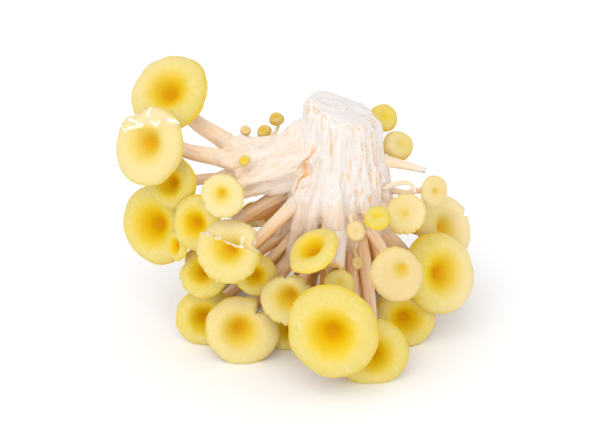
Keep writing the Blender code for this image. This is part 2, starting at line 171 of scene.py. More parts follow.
MUSHROOMS = (
    # The left-hand side, held high by the arm
    Mushroom("top_left", (-63, 24, 114), -18, 46, 37, FUNNEL, ARM, tone=0.38, fade=(-0.25, 0.1)),
    Mushroom("torn_left", (-71.5, 0, 97.5), -25, 28, 35, FUNNEL, ARM, (0, 0.1), (120, 25, 0.14),
             tone=0.7, cracks=TORN_LEFT_CRACKS, flap=(0.52, 0.1, 0.05)),
    Mushroom("behind_torn", (-62, 4, 77), -30, 20, 25, FUNNEL, ARM, tone=0.05),
    Mushroom("pale_left", (-37, -20, 82.5), -12, 30, 20, SAUCER, ARM, (0, 0.15), (205, 20, 0.2),
             tone=0.8, fray=0.03),
    Mushroom("left_large", (-71, 10, 52.2), -30, 22, 38, FUNNEL, ARM, tone=0.18),
    Mushroom("left_middle", (-50, -11, 64), -25, 20, 25, FUNNEL, ARM, tone=0.15),
    Mushroom("left_lobe", (-60, -5, 49.3), -55, 15, 15, FUNNEL, (-45, 1, 63), tone=0.1),
    Mushroom("split_fan", (-35, -28, 60.5), -15, 38, 30, FUNNEL, 80, (0.1, 0.1), (20, 22, 0.25),
             tone=0.45, fray=0.02, cracks=SPLIT_FAN_CRACKS, flap=(0.22, -0.22, 0.26)),
    Mushroom("lower_left_torn", (-47, -9, 39), -15, 38, 25, FUNNEL, 60, (0, 0), (170, 20, 0.15),
             tone=0.1, fray=0.02),
    # The front, standing on the table or leaning just clear of it
    Mushroom("front_left_outer", (-47, -10, 13.5), -5, 18, 28, FUNNEL, tone=0.15),
    Mushroom("front_left", (-29, -25, 15.4), 2, 20, 33, FUNNEL, None, (-0.1, 0.1), (50, 14, 0.35),
             tone=0.55),
    Mushroom("front_low", (-8, -14, 11), -5, 20, 23, FUNNEL, tone=0.1),
    Mushroom("ragged", (-9, -28, 34), -15, 22, 25, FUNNEL, None, (0.15, 0.2), (100, 14, 0.15),
             tone=0.5, fray=0.04),
    Mushroom("front_largest", (11, -53, 32), -8, 17, 41, FUNNEL, 62, tone=0.2),
    Mushroom("front_right", (30, -41, 14), 5, 20, 32, FUNNEL, tone=0.15),
    Mushroom("right_low", (46, -11, 13.8), 12, 20, 30, FUNNEL, tone=0.15),
    Mushroom("pale_right", (40, -36, 52), 8, 24, 24, SAUCER, None, (0.2, 0.25), tone=0.95,
             fray=0.015, tan=0.3),
    Mushroom("behind_fan", (-23, -14, 39), -5, 22, 20, FUNNEL, tone=0.1),
    Mushroom("behind_largest", (15, -30, 44), 5, 35, 14, BUTTON, tone=0.25),
    # The upper front
    Mushroom("bright_oval", (2, -27, 61), -60, 60, 25, FUNNEL, tone=0.2),
    Mushroom("bud_front", (22, -24, 67), 0, 25, 9, BUTTON, tone=0.9, tan=0.22),
    Mushroom("bud_deep", (23, -19, 48), 0, 25, 6, PIN, tone=0.8, tan=0.25),
    Mushroom("small_oval", (31, -24, 75), -10, 60, 12, BUTTON, tone=0.0),
    # The right-hand side
    Mushroom("shell_right", (44, -10, 69), -20, 48, 20, SAUCER, tone=0.75, fray=0.04,
             fade=(0.3, 0.1), tan=0.08, clear=0.3),
    Mushroom("right_large", (64, -4, 34), 30, 24, 38, FUNNEL, tone=0.4, fade=(0.6, -0.3)),
    Mushroom("right_split", (67, 20, 46), 38, 32, 32, FUNNEL, None, (0, 0), (10, 8, 0.3), tone=0.8,
             fade=(0.4, 0.1)),
    Mushroom("small_right", (59, 8, 70.5), 25, 25, 14, SAUCER, tone=0.9, fade=(-0.2, 0), tan=0.15,
             clear=0.12),
    Mushroom("bud_right_high", (37, 33, 97), 30, 45, 14, BUTTON, 88, tone=0.05, tan=0.1),
    Mushroom("bud_right", (44, 26, 86), 35, 40, 15, BUTTON, 80, tone=0.5, fade=(-0.4, 0.2), tan=0.1),
    # Buds on the arm
    Mushroom("pin_back_high", (-14, 32, 97), -20, 60, 7, PIN, ARM, tone=0.1, tan=0.55),
    Mushroom("pin_back_low", (-20, 28, 92), -30, 50, 7, PIN, ARM, tone=0.1, tan=0.4),
    Mushroom("pin_shoulder", (-28, 24, 94), -10, 40, 5, PIN, ARM, tone=0.85, tan=0.3),
    Mushroom("pin_bright", (-28, 2, 89), -20, 30, 5, PIN, ARM, tone=0.0),
    # The back
    Mushroom("back_left_low", (-38, 36, 15.4), -130, 15, 33, FUNNEL, tone=0.15),
    Mushroom("back_centre", (2, 56, 27), 180, 15, 36, FUNNEL, tone=0.25),
    Mushroom("back_right_low", (42, 38, 16), 135, 15, 33, FUNNEL, tone=0.2),
    Mushroom("back_left", (-44, 42, 50), -135, 20, 28, FUNNEL, 68, tone=0.35),
    Mushroom("back_high", (-14, 48, 60), -165, 22, 24, FUNNEL, tone=0.1),
    Mushroom("back_right", (30, 48, 50), 155, 22, 24, SAUCER, tone=0.8),
    Mushroom("back_top", (12, 44, 76), 175, 25, 20, SAUCER, 80, tone=0.7),
    Mushroom("back_middle", (8, 56, 57), 178, 15, 17, FUNNEL, 70, tone=0.1),
    Mushroom("back_small", (-25, 52, 37), -160, 15, 18, FUNNEL, tone=0.3),
    Mushroom("back_bud", (30, 39, 74), 140, 35, 13, BUTTON, 78, tone=0.2),
    Mushroom("back_far_right", (57, 42, 42), 125, 20, 20, FUNNEL, tone=0.15),
)

# Stems with no cap: three points on each in mm, and its radii at both ends. The deep ones
# stand in the shade under the butt and the arm.
BROKEN_STEM = (((26, 14, 85), (42, 15, 81), (53, 15, 78)), (3.2, 1.4))
CURLED_STEM = (((34, 6, 72), (45, 4, 77), (49, 2, 73)), (1.2, 0.8))
TRUMPET = (((18, 2, 64), (14, -13, 57.5), (10, -21, 48)), (4, 7.5))
DEEP_STEMS = (
    (((18, 2, 60), (21, -9, 40), (23, -20, 16)), (3.2, 2.4)),
    (((22, 3, 62), (27, -10, 40), (30, -21, 15)), (3.2, 2.6)),
    (((27, 4, 60), (33, 0, 42), (36, -2, 24)), (3, 2.4)),
    (((4, 14, 72), (-14, 12, 65), (-32, 10, 53)), (4, 3)),
    (((2, 10, 62), (-12, 10, 55), (-24, 8, 42)), (3.6, 2.8)),
)

# The floor, and the camera, which looks down on the cluster as the photograph does.
FLOOR_WIDTH = 12.0
PHOTO_WIDTH_PX = 612
FOCAL_PX = 1540
CAMERA_DISTANCE = 0.7
CAMERA_ELEVATION = math.radians(28)
TARGET_HEIGHT = 0.0604
SENSOR_MM = 36.0
KEY_FROM = (-0.35, -0.55, 0.9)
FILL_FROM = (0.15, -0.9, 0.35)


def srgb(red, green, blue):
    """A linear colour from display values of 0 to 255."""
    shares = np.array((red, green, blue)) / 255
    low, high = shares / 12.92, ((shares + 0.055) / 1.055) ** 2.4
    return tuple(float(x) for x in np.where(shares <= 0.04045, low, high))


def colour(label, description, default):
    return FloatVectorProperty(
        name=label, description=description, default=default, subtype="COLOR", min=0, max=1
    )


def length(label, description, default, low=0):
    """A length whose values are given in mm."""
    return FloatProperty(
        name=label, description=description, default=default * MM, min=low * MM, unit="LENGTH"
    )


def fraction(label, description, default, high=1):
    return FloatProperty(
        name=label, description=description, default=default, min=0, max=high, subtype="FACTOR"
    )


def intensity(label, description, default):
    return FloatProperty(name=label, description=description, default=default, min=0)


def how_many(label, description, default, low):
    return IntProperty(name=label, description=description, default=default, min=low)


class CapSettings(bpy.types.PropertyGroup):
    """Sizes and colours of the caps."""

    step: length("Step", "Distance between the points of a cap's surface", 0.45, 0.1)
    gill_gap: length("Gill gap", "Distance between gills at the margin", 1.9, 0.5)
    points_per_gill: how_many("Points per gill", "Points across one gill", 6, 4)
    ripple: fraction("Ripple", "Unevenness of a cap, as a share of its radius", 0.014, 0.1)
    subsurface: fraction("Subsurface", "How much light the flesh lets through", 0.2)
    throat: colour("Throat", "Deepest orange, at the bottom of the throat", srgb(215, 154, 0))
    gold: colour("Gold", "Golden yellow round the throat", srgb(226, 184, 0))
    lemon: colour("Lemon", "Lemon yellow of the upper side", srgb(230, 200, 40))
    margin: colour("Margin", "Paler yellow of the rolled margin", srgb(222, 202, 98))
    tan: colour("Tan", "Skin of the pins and of old caps", srgb(206, 160, 84))
    straw: colour("Straw", "Skin of the palest caps", srgb(235, 217, 165))
    straw_pit: colour("Straw pit", "Throat of the palest caps", srgb(240, 200, 40))
    gills: colour("Gills", "Edges of the gills", srgb(242, 230, 192))
    # Gill floor is painted shade: a darker gold for the hollows between the gills.
    painted_gill_shade: colour("Gill floor", "Flesh between the gills", srgb(230, 200, 124))
    torn: colour("Torn flesh", "White flesh where the skin is torn", srgb(250, 246, 236))


class FleshSettings(bpy.types.PropertyGroup):
    """Sizes and colours of the butt and the stems."""

    voxel: length("Voxel", "Size of the cells that join the butt, the arm and the roots", 0.57, 0.3)
    sides: how_many("Sides", "Points round a stem", 36, 8)
    steps: how_many("Steps", "Points along a stem", 44, 8)
    fold: length("Fold", "Depth of the broad folds of the butt", 0.8)
    fibre: length("Fibre", "Depth of the fibres of the butt", 0.22)
    subsurface: fraction("Subsurface", "How much light the flesh lets through", 0.4)
    white: colour("White", "Torn and cut flesh of the butt", srgb(233, 228, 226))
    cream: colour("Cream", "Pinkish cream of the stems", srgb(245, 223, 199))
    buff: colour("Buff", "Darker streaks along the stems", srgb(240, 202, 156))
    stain: colour("Stain", "Orange-brown stains and specks", srgb(222, 172, 80))
    # Deep is the colour of painted shade inside the cluster, tinted orange as if by light bounced from
    # the caps.
    deep: colour("Deep", "Warm flesh inside the cluster", srgb(242, 176, 60))


class StageSettings(bpy.types.PropertyGroup):
    """The floor and the light."""

    floor: colour("Floor", "Colour of the floor", (0.985, 0.985, 1.0))
    sky: intensity("Sky", "Strength of the even light", 0.82)
    key: intensity("Key", "Strength of the soft light from the upper left", 0.85)
    fill: intensity("Fill", "Strength of the soft light from the front", 0.55)
    size: FloatProperty(
        name="Size", description="Angle that each soft light fills", default=math.radians(60),
        min=0, max=math.pi, subtype="ANGLE",
    )


# Surfaces

Surface = namedtuple("Surface", "points quads triangles marks")


def unit(vectors):
    """Vectors of length one, along the last axis."""
    return vectors / np.linalg.norm(vectors, axis=-1, keepdims=True)


def turns(count):
    """Angles of that many points round a ring."""
    return np.arange(count) * math.tau / count


def circle(radius, angle, height=0.0):
    """Points at the angles round the z axis, at that radius and height."""
    return np.stack([radius * np.cos(angle), radius * np.sin(angle), height + 0 * angle], axis=-1)


def ease(low, high, values):
    """0 below low, 1 above high, and 3t^2 - 2t^3 between them."""
    t = np.clip((values - low) / (high - low), 0, 1)
    return t * t * (3 - 2 * t)


def ripple(points, seed, waves=20):
    """A smooth random field of points, about -1 to 1, with bumps about one unit apart.

    It is the sum of sines of (k . p + phase), with seeded directions and phases, k from
    0.6 to 1.6 turns in a unit, and each sine divided by the square root of half their number.
    """
    draw = np.random.default_rng(seed)
    ways = unit(draw.normal(size=(waves, 3))) * draw.uniform(0.6, 1.6, (waves, 1)) * math.tau
    phases = draw.uniform(0, math.tau, waves)
    return np.sin(points @ ways.T + phases).sum(axis=-1) / math.sqrt(waves / 2) / 2


def bezier(a, b, c, d, t):
    """The cubic curve from a to d with handles b and c, at the values t."""
    t = np.asarray(t)[:, None]
    return (1 - t) ** 3 * a + 3 * (1 - t) ** 2 * t * b + 3 * (1 - t) * t**2 * c + t**3 * d


def closed_grid(rows, first, last, marks):
    """A closed surface: a grid of rows that wraps round, with a point at each end.

    Quads join each row to the next, and fans of triangles join the end points to the end
    rows. Rows turn clockwise to someone whom they come towards, so faces point outwards.
    marks are values on the grid, which the end points take from the end rows.
    """
    count, around = rows.shape[:2]
    index = 1 + np.arange(count * around).reshape(count, around)
    beside = np.roll(index, -1, axis=1)
    quads = np.stack([index[:-1], index[1:], beside[1:], beside[:-1]], axis=-1)
    start = np.stack([np.zeros(around, int), index[0], beside[0]], axis=-1)
    end = np.stack([np.full(around, count * around + 1), beside[-1], index[-1]], axis=-1)
    points = np.concatenate([[first], rows.reshape(-1, 3), [last]])
    spread = {}
    for name, values in marks.items():
        flat = values.reshape(count * around, -1)
        ends = values[0].reshape(around, -1).mean(0), values[-1].reshape(around, -1).mean(0)
        spread[name] = np.concatenate([[ends[0]], flat, [ends[1]]])
    return Surface(points, quads.reshape(-1, 4), np.concatenate([start, end]), spread)


def joined(surfaces):
    """Several surfaces as one, each still closed."""
    starts = np.cumsum([0] + [len(surface.points) for surface in surfaces])
    return Surface(
        np.concatenate([surface.points for surface in surfaces]),
        np.concatenate([s.quads + start for s, start in zip(surfaces, starts)]),
        np.concatenate([s.triangles + start for s, start in zip(surfaces, starts)]),
        {name: np.concatenate([s.marks[name] for s in surfaces]) for name in surfaces[0].marks},
    )


def put_marks(mesh, marks):
    """Stores values on the mesh's points: one number each, or a vector of three."""
    for name, values in marks.items():
        kind, key = ("FLOAT", "value") if values.shape[1] == 1 else ("FLOAT_VECTOR", "vector")
        stored = mesh.attributes.new(name, kind, "POINT")
        stored.data.foreach_set(key, values.astype(np.float32).ravel())


def mesh_of(name, surface):
    """A smooth-shaded mesh of the surface, moved so that the cluster's middle is the origin."""
    points = surface.points - MIDDLE
    points[:, 2] = np.maximum(points[:, 2], TABLE)
    corners = np.concatenate([surface.quads.ravel(), surface.triangles.ravel()])
    sizes = np.repeat([4, 3], [len(surface.quads), len(surface.triangles)])
    mesh = bpy.data.meshes.new(name)
    mesh.vertices.add(len(points))
    mesh.vertices.foreach_set("co", points.astype(np.float32).ravel())
    mesh.loops.add(len(corners))
    mesh.loops.foreach_set("vertex_index", corners.astype(np.int32))
    mesh.polygons.add(len(sizes))
    mesh.polygons.foreach_set("loop_start", (np.cumsum(sizes) - sizes).astype(np.int32))
    mesh.polygons.foreach_set("use_smooth", np.ones(len(sizes), bool))
    mesh.update(calc_edges=True)
    put_marks(mesh, surface.marks)
    return mesh


def piece_of(name, mesh, material):
    """An object at the origin with that mesh and material, which rides on the cluster."""
    mesh.materials.append(material)
    piece = bpy.data.objects.new(name, mesh)
    bpy.context.scene.collection.objects.link(piece)
    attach(piece, BODY)
    return piece


# Shader maths


class Socket:
    """An output of a shader tree. Arithmetic on it adds Math nodes."""

    def __init__(self, tree, output):
        self.tree = tree
        self.output = output

    def math(self, operation, first, second, clamp=False):
        settings = {"operation": operation, "use_clamp": clamp}
        return node(self.tree, "ShaderNodeMath", settings, {0: first, 1: second})

    def __add__(self, other):
        return self.math("ADD", self, other)

    __radd__ = __add__

    def __sub__(self, other):
        return self.math("SUBTRACT", self, other)

    def __rsub__(self, other):
        return self.math("SUBTRACT", other, self)

    def __mul__(self, other):
        return self.math("MULTIPLY", self, other)

    def __pow__(self, other):
        return self.math("POWER", self, other)

    def clipped(self):
        return self.math("ADD", self, 0.0, clamp=True)


def node(tree, kind, settings, values, output=0):
    """A node of that kind, with its settings set first, then its sockets' values or links."""
    made = tree.nodes.new(kind)
    for name, value in settings.items():
        if name == "stops":
            elements = made.color_ramp.elements
            for place, tint in value[1:-1]:
                elements.new(place)
            for element, (place, tint) in zip(elements, value):
                element.position = place
                element.color = (*tint, 1.0)
        else:
            setattr(made, name, value)
    for key, value in values.items():
        if isinstance(value, Socket):
            tree.links.new(value.output, made.inputs[key])
        elif made.inputs[key].type == "RGBA" and len(value) == 3:
            made.inputs[key].default_value = (*value, 1.0)
        else:
            made.inputs[key].default_value = value
    return Socket(tree, made.outputs[output])


def attribute(tree, name, output="Fac"):
    return node(tree, "ShaderNodeAttribute", {"attribute_name": name}, {}, output)


def noise(tree, vector, scale, detail):
    """Noise over the vector with each axis multiplied, in turns per metre or per unit."""
    place = node(tree, "ShaderNodeVectorMath", {"operation": "MULTIPLY"}, {0: vector, 1: scale})
    return node(tree, "ShaderNodeTexNoise", {}, {"Vector": place, "Scale": 1.0, "Detail": detail})


def mottle(tree, scale, detail):
    """Noise over the object's own coordinates, the same each way, in turns per metre."""
    place = node(tree, "ShaderNodeTexCoord", {}, {}, "Object")
    return noise(tree, place, (scale, scale, scale), detail)


def mix(tree, factor, first, second):
    """From the first colour to the second as factor goes from 0 to 1."""
    settings = {"data_type": "RGBA"}
    return node(tree, "ShaderNodeMix", settings, {0: factor, 6: first, 7: second}, 2)


def ramp(tree, value, stops):
    return node(tree, "ShaderNodeValToRGB", {"stops": stops}, {"Fac": value})


def between(tree, value, low, high):
    """0 where the value is below low, 1 where it is above high, eased between them."""
    settings = {"interpolation_type": "SMOOTHSTEP"}
    values = {"Value": value, "From Min": low, "From Max": high}
    return node(tree, "ShaderNodeMapRange", settings, values)


def new_material(name, fixed):
    """A new material and its shader, with fixed values set on the shader's own sockets."""
    material = bpy.data.materials.new(name)
    material.use_nodes = True
    shader = material.node_tree.nodes["Principled BSDF"]
    for socket, value in fixed.items():
        shader.inputs[socket].default_value = value
    return material, shader


def flesh_shader(name, subsurface, radius, roughness, shine):
    """A new material and its shader, with the fixed values of flesh that lets light through."""
    return new_material(name, {
        "Metallic": 0.0,
        "Roughness": roughness,
        "IOR": 1.38,
        "Specular IOR Level": shine,
        "Subsurface Weight": subsurface,
        "Subsurface Radius": radius,
        "Subsurface Scale": 3 * MM,
    })


def link_varying(tree, shader, tint, gloss, relief, depth):
    """Feeds the shader its colour, its roughness and a relief of that depth."""
    values = {"Strength": 0.5, "Distance": depth, "Height": relief}
    bump = node(tree, "ShaderNodeBump", {}, values, "Normal")
    for socket, value in (("Base Color", tint), ("Roughness", gloss), ("Normal", bump)):
        tree.links.new(value.output, shader.inputs[socket])


def cap_material(settings, name):
    """Cap skin and gills.

    The mark run goes from 0 in the throat to 1 at the margin and 2 at the stem, and carries
    the colours. Fibres along the radius, soft mottling and white torn flesh lie over them.
    """
    material, shader = flesh_shader(name, settings.subsurface, (1.0, 0.6, 0.2), 0.42, 0.1)
    tree = material.node_tree
    run, tone, torn = (attribute(tree, mark) for mark in ("run", "tone", "torn"))
    blade, tan = (attribute(tree, mark) for mark in ("blade", "tan"))
    around = attribute(tree, "around", "Vector")
    fibres = noise(tree, around, (22, 22, 2.5), 4)
    patches = mottle(tree, 130, 2)
    narrow = tone * (1 - between(tree, run, 0.5, 0.9)) * 0.28
    fringe = (fibres - 0.5) * between(tree, run, 0.3, 0.7) * 0.12
    shifted = run * (1 + narrow) + fringe + (patches - 0.5) * 0.12
    yellow = ramp(tree, shifted * 0.5, (
        (0.0, settings.throat), (0.05, settings.throat), (0.14, settings.gold), (0.25, settings.lemon),
        (0.36, settings.margin), (0.45, settings.margin), (0.5, settings.lemon),
        (0.53, settings.lemon), (0.57, settings.gills),
    ))
    straw = ramp(tree, shifted * 0.5, (
        (0.0, settings.straw_pit), (0.04, settings.straw_pit), (0.12, settings.margin),
        (0.24, settings.straw), (0.46, settings.straw), (0.51, settings.margin),
        (0.54, settings.margin), (0.57, settings.gills),
    ))
    outer = between(tree, run, 0.28, 0.75)
    inner = tone**3
    skin = mix(tree, inner + (tone - inner) * outer, yellow, straw)
    skin = mix(tree, tan * (1 - between(tree, run, 0.95, 1.05)), skin, settings.tan)
    film = mottle(tree, 330, 3)
    bloom = between(tree, fibres, 0.48, 0.75) * 0.25 + between(tree, film, 0.5, 0.72) * 0.35
    streaky = mix(tree, (bloom * outer).clipped(), skin, settings.straw)
    under = between(tree, run, 1.03, 1.1)
    # Painted shade: the hollows between the gills take the darker gill floor colour.
    painted_gill_shade_mask = (under * (1 - blade) * 0.8).clipped()
    gilled = mix(tree, painted_gill_shade_mask, streaky, settings.painted_gill_shade)
    white = mix(tree, torn.clipped(), gilled, settings.torn)
    gloss = 0.4 + fibres * 0.14 + under * 0.12
    lines = noise(tree, around, (60, 60, 3), 3)
    relief = mottle(tree, 2600, 2) * 0.35 + lines * between(tree, run, 0.15, 0.6)
    link_varying(tree, shader, white, gloss, relief, 0.12 * MM)
    return material


def butt_material(settings, name):
    """Fibrous flesh: white where it is torn, pinkish cream along the stems, buff streaks,
    orange-brown stains, and painted shade, tinted orange, deep inside the cluster.

    The mark fibre is the place with its third number along the fibres, in metres.
    """
    material, shader = flesh_shader(name, settings.subsurface, (1.0, 0.7, 0.45), 0.55, 0.2)
    tree = material.node_tree
    fibre = attribute(tree, "fibre", "Vector")
    torn, stain, deep = (attribute(tree, mark) for mark in ("torn", "stain", "deep"))
    streaks = noise(tree, fibre, (700, 700, 45), 4)
    threads = noise(tree, fibre, (1900, 1900, 90), 3)
    patches = mottle(tree, 140, 3)
    specks = mottle(tree, 620, 2)
    stem = mix(tree, between(tree, streaks, 0.48, 0.7), settings.cream, settings.buff)
    pale = mix(tree, (torn + (patches - 0.5) * 0.5).clipped(), stem, settings.white)
    # Painted shade: the mark deep mixes in the orange Deep colour where shade falls inside the cluster.
    painted_shade_mix = mix(tree, deep.clipped(), pale, settings.deep)
    veins = noise(tree, fibre, (820, 820, 34), 1)
    lines = between(tree, veins, 0.5, 0.72) * stain * 0.8
    dots = between(tree, specks, 0.62, 0.72) * (stain * 0.7 + torn * 0.15)
    stained = mix(tree, (lines + dots).clipped(), painted_shade_mix, settings.stain)
    relief = streaks * 0.6 + threads * 0.5 + specks * torn * 0.4
    link_varying(tree, shader, stained, 0.5 + threads * 0.2, relief, 0.25 * MM)
    return material


def material_once(name, maker, settings):
    return bpy.data.materials.get(name) or maker(settings, name)


# Caps


def cap_frame(mushroom):
    """The middle of the cap's rim, and the cap's own right, up and outward directions."""
    turn, tilt = math.radians(mushroom.turn), math.radians(mushroom.tilt)
    level = np.array((math.sin(turn), -math.cos(turn), 0.0))
    out = math.cos(tilt) * level + math.sin(tilt) * np.array((0.0, 0.0, 1.0))
    right = np.array((math.cos(turn), math.sin(turn), 0.0))
    return np.array(mushroom.middle) * MM, right, np.cross(out, right), out


def cap_radius(mushroom):
    return mushroom.width * MM / 2


def stem_radius(mushroom):
    low, high = STEM_RADIUS_MM
    return min(max(STEM_SHARE * mushroom.width, low), high) * MM


def stem_seed(mushroom):
    """A number of the mushroom's own, from the letters of its name."""
    return sum(map(ord, mushroom.name))


def collar_share(mushroom):
    """The radius of the collar, where the gills meet the stem, as a share of the cap's."""
    return COLLAR_FLARE * stem_radius(mushroom) / cap_radius(mushroom)


def top_height(form, share):
    """Height of the upper side: minus a bell for the throat, an eased bowl that rises between
    the two shares of BOWL, and most of a quarter of a circle for the margin that rolls down
    from ROLL_FROM."""
    throat = form.pit * np.exp(-((share / form.pit_width) ** 2))
    bowl = form.bowl * (1 - ease(*BOWL, share))
    out = ROLL_FULLNESS * np.clip((share - ROLL_FROM) / (1 - ROLL_FROM), 0, 1)
    roll = (1 - np.sqrt(1 - out**2)) / (1 - math.sqrt(1 - ROLL_FULLNESS**2))
    return -throat - bowl - form.droop * roll


def under_height(form, share, collar):
    """Height of the gilled side, which falls from the margin to the collar as a power of 1.5."""
    inward = np.maximum(0, (UNDER_EDGE - share) / (UNDER_EDGE - collar))
    return -form.droop - LIP - form.fall * inward**1.5


def cap_section(form, collar, radius, step):
    """The cap's section from throat to stem: share of the radius, height and run at each row.

    Run goes from 0 to 1 over the upper side, to 1.08 round the lip, to 2 down the gills to
    the collar, and a little beyond down the stem, where the gills run out.
    """
    share = np.linspace(0, 1, max(14, round(radius / step)) + 1)[1:]
    top = np.stack([share, top_height(form, share), share], axis=1)
    ahead = unit(np.array((1.0, -5.5 * form.droop)))
    start, end = np.array((1, -form.droop)), np.array((UNDER_EDGE, -form.droop - LIP))
    turn = np.linspace(0, 1, 7)[1:]
    lip = bezier(start, start + 0.035 * ahead, end + np.array((0.04, 0)), end, turn)
    lip = np.column_stack([lip, 1 + LIP_RUN * turn])
    inward = np.linspace(0, 1, max(10, round(0.6 * radius / step)) + 1)[1:]
    share = UNDER_EDGE - inward * (UNDER_EDGE - collar)
    fall = under_height(form, share, collar)
    gills = np.stack([share, fall, GILLS_FROM + GILLS_RUN * inward], axis=1)
    down = np.linspace(0, 1, 6)[1:]
    narrowed = collar * (1 - 0.16 * down)
    sleeve = np.stack([narrowed, fall[-1] - 1.1 * collar * down, 2 + 0.2 * down], axis=1)
    return np.concatenate([top, lip, gills, sleeve])


def down_gills(run):
    """How far down the gills a place is: 0 at the lip and 1 at the stem."""
    return (run - GILLS_FROM) / GILLS_RUN


def blades(run, angle, gills):
    """How far each point stands up into a gill, 0 to 1.

    A gill is the fifth power of a cosine across it. Every second one fades out before the
    stem, and all of them fade at the margin and on the stem.
    """
    ridge = np.abs(np.cos(gills * angle / 2)) ** 5
    long_one = np.cos(gills * angle / 4) ** 2
    short = 1 - ease(0.35, 0.6, down_gills(run))
    return ridge * (long_one + (1 - long_one) * short)


def gill_depth(run):
    """The share of a gill's full depth: it rises from the margin, and falls on the stem."""
    inward = down_gills(run)
    return ease(0, 0.3, inward) * (1 - 0.55 * ease(0.5, 1, inward)) * (1 - ease(1, 1.2, inward))


def margin_reach(mushroom, share, angle, draw):
    """How far out the cap reaches: its share, made oval, waved, frayed and torn.

    The oval is a cosine of twice the angle, the waves are cosines of three to nine times it,
    fraying is sines of many times it, and a tear is a wedge that cuts in.
    """
    oval_at = draw["oval_at"]
    reach = share * (1 + OVAL * share * np.cos(2 * (angle - oval_at)))
    for k, phase in zip(range(3, 10), draw["phases"]):
        reach = reach + 0.012 / math.sqrt(k) * share**3 * np.cos(k * angle + phase)
    jag = np.abs(ripple(circle(4, angle), draw["seed"]))
    reach = reach - mushroom.fray * ease(0.8, 1, share) * (0.4 + 1.6 * jag)
    if mushroom.notch:
        place, half_width, depth = mushroom.notch
        away = (angle - math.radians(place) + math.pi) % math.tau - math.pi
        uneven = 1 + 0.25 * ripple(np.stack([6 * share, 9 * away, 0 * away], axis=-1), draw["seed"] + 1)
        bite = np.clip(1 - np.abs(away * uneven) / math.radians(half_width), 0, 1)
        reach = reach * (1 - depth * bite * np.maximum(0, 2 * share - 1))
        return reach, ease(0.15, 0.6, bite) * ease(0.9, 0.99, share)
    return reach, np.zeros_like(reach)


def near_lines(side, rise, lines):
    """Distance from each point to the nearest of the broken lines."""
    nearest = np.full(side.shape, 9.0)
    place = np.stack([side, rise], axis=-1)
    for line in lines:
        for start, end in zip(np.array(line), np.array(line)[1:]):
            along = end - start
            t = np.clip(((place - start) @ along) / (along @ along), 0, 1)
            nearest = np.minimum(nearest, np.linalg.norm(place - start - t[..., None] * along, axis=-1))
    return nearest


def cap_surface(mushroom, settings):
    """A whole cap, from the bottom of its throat round its margin and down its gills.

    Each row is a ring at one place of the section, carried out along the cap's axis, with
    waves of three times the angle, low ripples, gills and cracks added to its height.
    """
    form, radius = mushroom.form, cap_radius(mushroom)
    middle, right, up, out = cap_frame(mushroom)
    section = cap_section(form, collar_share(mushroom), radius, settings.step)
    gills = 4 * max(4, round(math.tau * radius / settings.gill_gap / 4))
    angle = turns(gills * settings.points_per_gill)[None, :]
    share, height, run = (column[:, None] + 0 * angle for column in section.T)
    first = random.Random(mushroom.name)
    draw = {"oval_at": first.uniform(0, math.pi)}
    wave_at = first.uniform(0, math.tau)
    draw["phases"] = [first.uniform(0, math.tau) for _ in range(7)]
    draw["seed"] = first.randrange(10**6)
    sway = 0.03 * np.sin(3 * angle + draw["phases"][0]) + 0.015 * np.sin(5 * angle + draw["phases"][1])
    bent = angle + sway * share
    reach, edge = margin_reach(mushroom, share, bent, draw)
    side = reach * np.cos(bent) + mushroom.off[0] * (1 - share)
    rise = reach * np.sin(bent) + mushroom.off[1] * (1 - share)
    lift = height + WAVE * share**2 * np.sin(3 * angle + wave_at)
    plane = np.stack([side, rise, 0 * side], axis=-1)
    lift = lift + settings.ripple * ease(0.1, 0.5, share) * ripple(plane * 1.3, draw["seed"] + 2)
    hairs = ripple(circle(9, bent, share), draw["seed"] + 3)
    lift = lift + 0.003 * ease(0.2, 0.9, share) * (run <= 1) * hairs
    blade = blades(run, angle, gills)
    lift = lift - form.gills * gill_depth(run) * (blade - 0.6) * (run > GILLS_FROM)
    tone = np.clip(mushroom.tone + mushroom.fade[0] * side + mushroom.fade[1] * rise, 0, 1)
    torn = edge
    if mushroom.cracks:
        gap = near_lines(side, rise, mushroom.cracks) + 0.02 * ripple(plane * 7, draw["seed"] + 4)
        width = 0.8 + 0.6 * ripple(plane * 4, draw["seed"] + 5)
        gap = gap / np.clip(width, 0.25, 1.6)
        lift = lift - 0.045 * np.exp(-((gap / 0.035) ** 2)) * (run <= 1)
        lift = lift + 0.02 * np.exp(-(((gap - 0.08) / 0.05) ** 2)) * (run <= 1)
        torn = np.maximum(torn, np.exp(-((gap / 0.04) ** 4)) * (run <= 1.02))
    if mushroom.flap:
        line, slope, sag = mushroom.flap
        above = rise - line - slope * side + 0.02 * ripple(plane * 5, draw["seed"] + 6)
        fold = np.exp(-(((above + 0.07) / 0.07) ** 2))
        lift = lift - sag * ease(-0.01, 0.06, above) + 0.3 * sag * fold
        tone = np.clip(tone + 0.4 * ease(-0.02, 0.04, above), 0, 1)
    rows = middle + radius * (side[..., None] * right + rise[..., None] * up + lift[..., None] * out)
    aside = mushroom.off[0] * right + mushroom.off[1] * up
    throat = middle + radius * (aside + top_height(form, 0.0) * out)
    end = middle + radius * (aside * (1 - section[-1, 0]) + section[-1, 1] * out)
    tint = max(BUD_TINTS.get(form, 0), mushroom.clear)
    marks = {
        "run": np.where(run < 1, tint + (1 - tint) * run, run),
        "around": circle(1, bent, run + draw["seed"] % 97),
        "tone": tone,
        "tan": mushroom.tan + 0 * share,
        "torn": torn,
        "blade": blade * (run > GILLS_FROM),
    }
    return closed_grid(rows, throat, end, marks)


